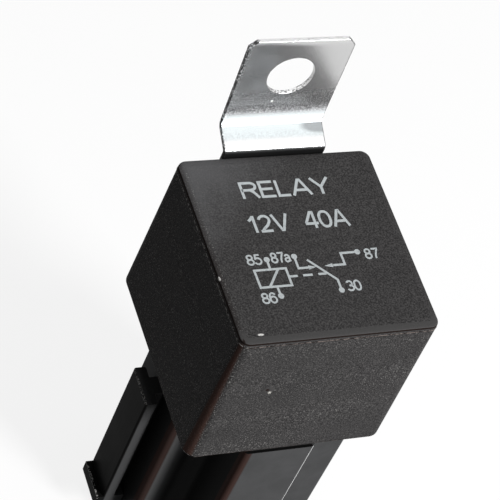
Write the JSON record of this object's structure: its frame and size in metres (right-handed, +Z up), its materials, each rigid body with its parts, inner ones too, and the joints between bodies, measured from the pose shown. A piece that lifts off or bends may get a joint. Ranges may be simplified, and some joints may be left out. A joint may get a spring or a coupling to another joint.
{
  "type": "automotive relay",
  "caption": "Plug-in automotive relay: a black moulded box with a bent steel mounting tab, five blades and its lever inside, seated in a black wire socket with a side rail.",
  "frame": {"origin": "on the relay's axis, in the plane of the socket's foot, on which the part stands", "axes": "+Z up out of the socket, the way the relay unplugs; +Y towards the bracket; X across, towards the rail slot"},
  "size_m": [0.0337, 0.0337, 0.076],
  "materials": {
    "cover_plastic": "fine spark texture",
    "socket_plastic": "semi-gloss moulded",
    "zinc_steel": "bright zinc plating",
    "base_plastic": "matte moulded",
    "compound": "cast, glossy",
    "tinned_brass": "tin plated",
    "bobbin_plastic": "natural nylon",
    "enamelled_copper": "enamelled wire",
    "magnet_steel": "soft iron, plated",
    "brass_rivet": "bright",
    "spring_bronze": "rolled",
    "contact_silver": "silver alloy"
  },
  "bodies": {
    "socket": {"socket_housing": "socket_plastic", "socket_terminal_30": "tinned_brass", "socket_terminal_85": "tinned_brass", "socket_terminal_86": "tinned_brass", "socket_terminal_87": "tinned_brass", "socket_terminal_87a": "tinned_brass"},
    "relay": {"cover": "cover_plastic", "bracket": "zinc_steel", "bracket_rivets": "zinc_steel", "base_plate": "base_plastic", "sealing_compound": "compound", "blade_30": "tinned_brass", "blade_85": "tinned_brass", "blade_86": "tinned_brass", "blade_87": "tinned_brass", "blade_87a": "tinned_brass", "bobbin": "bobbin_plastic", "coil_winding": "enamelled_copper", "coil_leads": "enamelled_copper", "core": "magnet_steel", "yoke": "magnet_steel", "yoke_rivets": "brass_rivet", "contact_no": "contact_silver", "contact_nc": "contact_silver"},
    "armature": {"armature": "magnet_steel", "armature_rivets": "brass_rivet", "moving_contact": "contact_silver", "contact_spring": "spring_bronze"}
  },
  "joints": [
    {"name": "unplug", "type": "slide", "parent": "socket", "child": "relay", "axis": [0, 0, 1], "range_m": [0, 0.012]},
    {"name": "armature_pull", "type": "hinge", "parent": "relay", "child": "armature", "pos_m": [0, -0.01065, 0.05285], "axis": [-1, 0, 0], "range_deg": [0, 3.4], "stiffness_Nm_per_rad": 0.06, "springref_deg": -2.86, "deforming": ["contact_spring"]}
  ]
}
